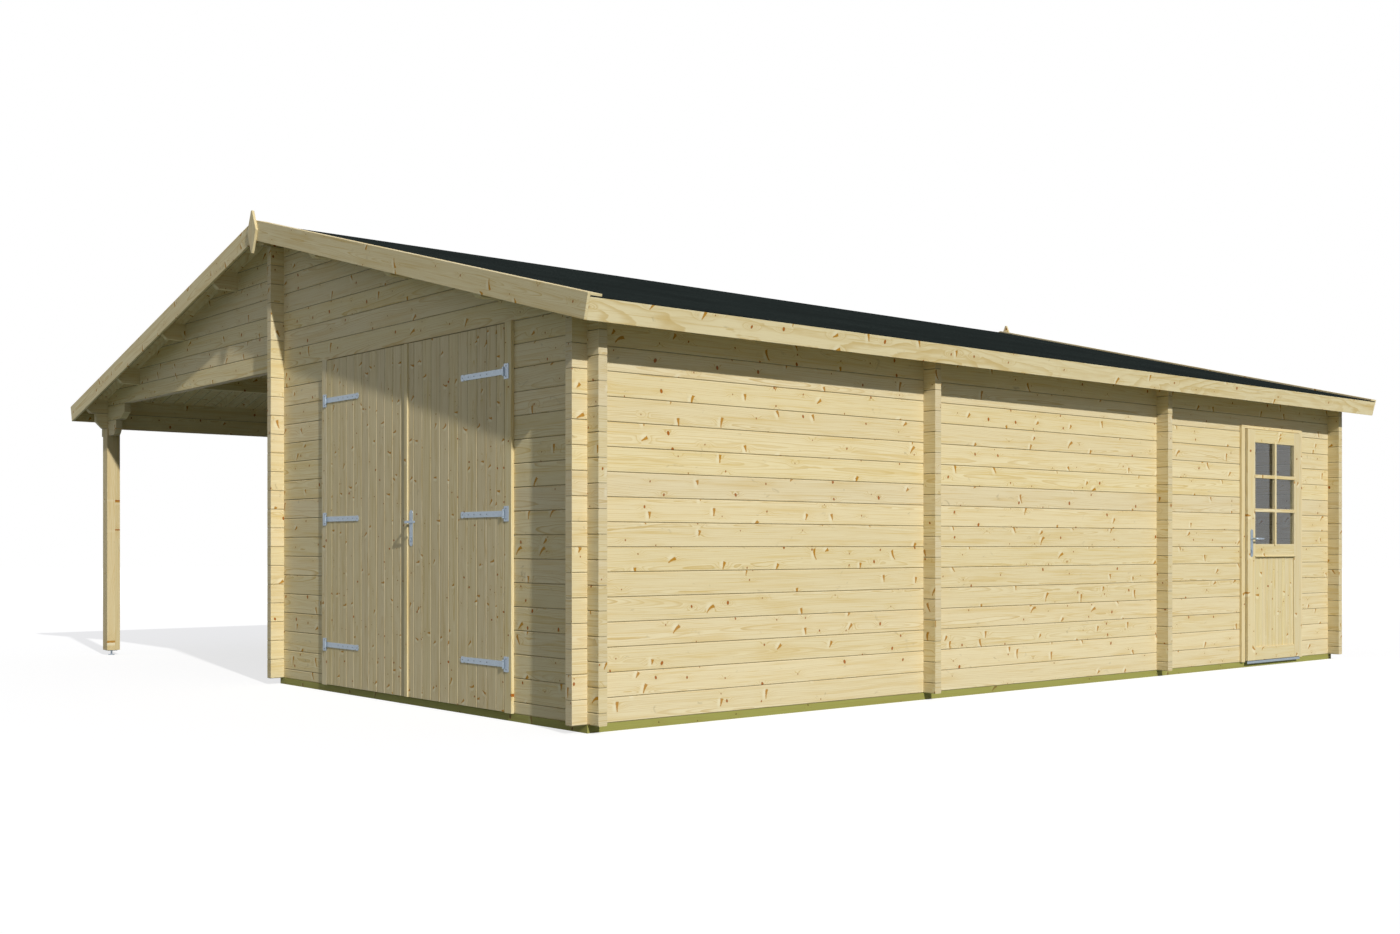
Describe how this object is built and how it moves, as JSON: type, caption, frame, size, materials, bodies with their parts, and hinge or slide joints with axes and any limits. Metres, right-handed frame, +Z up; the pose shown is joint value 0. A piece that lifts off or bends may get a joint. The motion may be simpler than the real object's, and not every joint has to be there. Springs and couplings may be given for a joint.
{
  "type": "log garage with open carport",
  "caption": "Solid-log timber garage with double board doors and a glazed side door, joined to an open carport on posts under one shallow gable roof.",
  "frame": {"origin": "on the ground, below the ridge, at half the length of the building", "axes": "+X across the building towards the closed garage side, +Y from the garage door front to the back, +Z up"},
  "size_m": [8.1028, 8.579, 3.392],
  "materials": {
    "spruce": "planed, untreated",
    "treated_timber": "pressure treated, green tint",
    "roofing_felt": "mineral faced bitumen felt",
    "galvanised_steel": "galvanised",
    "pane_glass": "clear"
  },
  "bodies": {
    "building": {"foundation_side_beams": "treated_timber", "foundation_end_beams": "treated_timber", "front_wall_left": "spruce", "front_wall_right": "spruce", "rear_wall": "spruce", "right_wall_front": "spruce", "right_wall_rear": "spruce", "right_wall_over_door": "spruce", "ridge_wall": "spruce", "ridge_log": "spruce", "purlins_left": "spruce", "purlins_right": "spruce", "front_gable": "spruce", "rear_gable": "spruce", "cross_logs": "spruce", "carport_beam": "spruce", "post_head_logs": "spruce", "carport_posts": "spruce", "post_feet": "galvanised_steel", "roof_boards_left": "spruce", "roof_boards_right": "spruce", "roof_felt_left": "roofing_felt", "roof_felt_right": "roofing_felt", "cover_strips": "spruce", "eave_boards": "spruce", "front_barge_boards": "spruce", "rear_barge_boards": "spruce", "finials": "spruce", "garage_door_jambs": "spruce", "garage_hinge_plates": "galvanised_steel", "side_door_frame": "spruce", "side_door_threshold": "galvanised_steel", "side_hinge_frame_halves": "galvanised_steel"},
    "garage_leaf_left": {"garage_door_left": "spruce", "garage_straps_left": "galvanised_steel"},
    "garage_leaf_right": {"garage_door_right": "spruce", "garage_door_astragal": "spruce", "garage_straps_right": "galvanised_steel", "garage_door_handle": "galvanised_steel"},
    "side_leaf": {"side_door_leaf": "spruce", "side_door_glass": "pane_glass", "side_door_bars": "spruce", "side_hinge_leaf_halves": "galvanised_steel", "side_door_handle": "galvanised_steel"}
  },
  "joints": [
    {"name": "garage_left_hinge", "type": "hinge", "parent": "building", "child": "garage_leaf_left", "pos_m": [0.748, -4.0835, 1.18], "axis": [0, 0, -1], "range_deg": [0, 150]},
    {"name": "garage_right_hinge", "type": "hinge", "parent": "building", "child": "garage_leaf_right", "pos_m": [2.972, -4.0835, 1.18], "axis": [0, 0, 1], "range_deg": [0, 150]},
    {"name": "side_door_hinge", "type": "hinge", "parent": "building", "child": "side_leaf", "pos_m": [3.776, 3.4555, 1.005], "axis": [0, 0, 1], "range_deg": [0, 110]}
  ]
}
